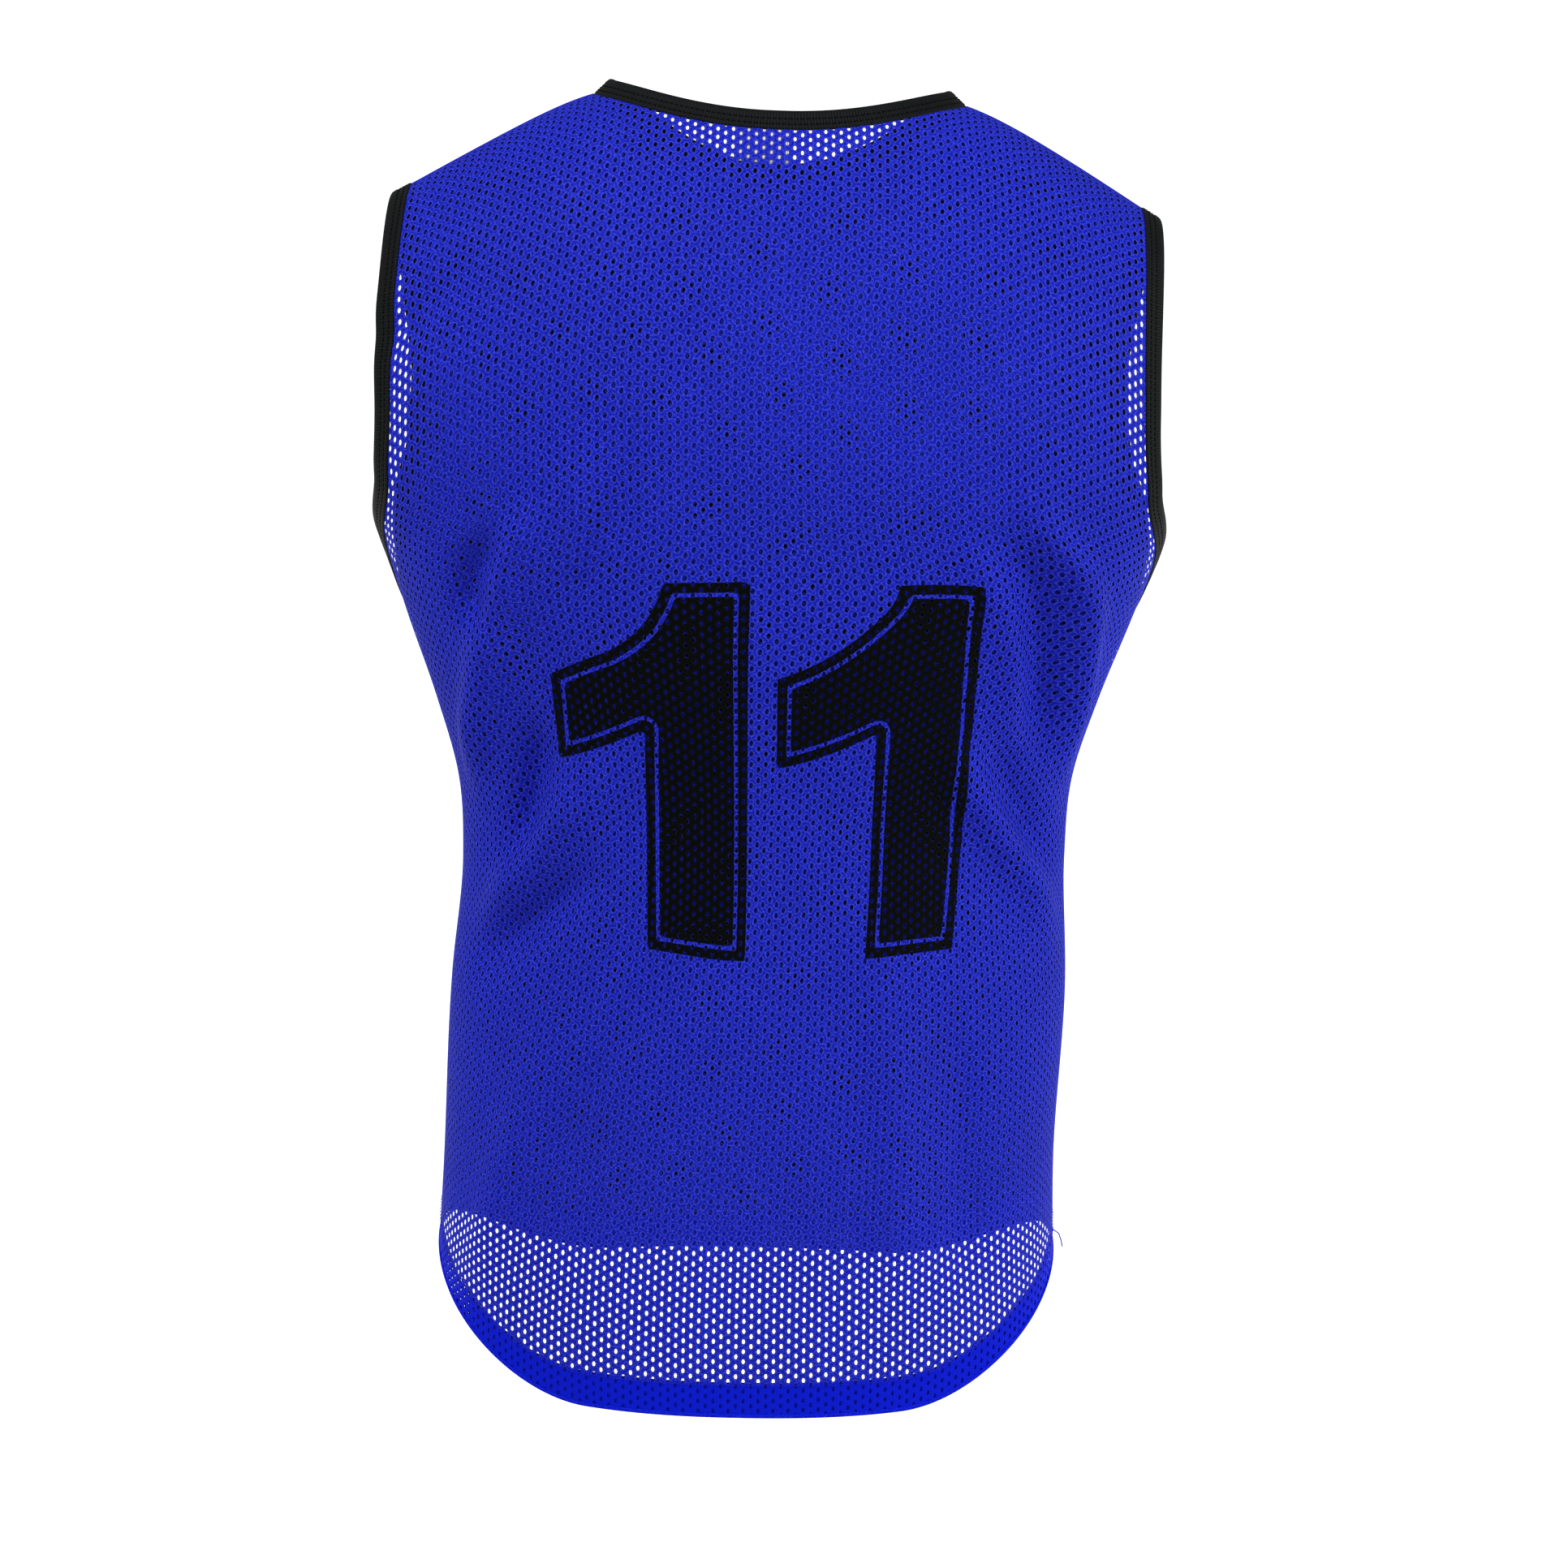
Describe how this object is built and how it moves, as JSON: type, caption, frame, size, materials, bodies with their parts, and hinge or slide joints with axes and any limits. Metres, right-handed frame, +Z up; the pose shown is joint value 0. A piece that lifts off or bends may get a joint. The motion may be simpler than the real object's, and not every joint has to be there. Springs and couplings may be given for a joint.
{
  "type": "mesh training bib",
  "caption": "Sleeveless pull-on sports bib in open mesh with bound neck and armholes, a turned hem with a rounded tail and a plain number on the back.",
  "frame": {"origin": "midway between the two points where the neckline meets the shoulder seams, where the wearer's shoulders hold the bib up", "axes": "+Z up towards the neck, +Y out of the front, -Y out of the back with the number, +X to the wearer's right"},
  "size_m": [0.41, 0.23, 0.693],
  "materials": {
    "mesh_cloth": "knitted polyester mesh, satin yarn",
    "binding": "matt black polyester tape",
    "label": "plain white woven tape, blank"
  },
  "bodies": {
    "root": {"back_panel": "mesh_cloth", "front_panel": "mesh_cloth", "neck_binding": "binding", "armhole_binding_left": "binding", "armhole_binding_right": "binding", "neck_label": "label"}
  },
  "joints": []
}
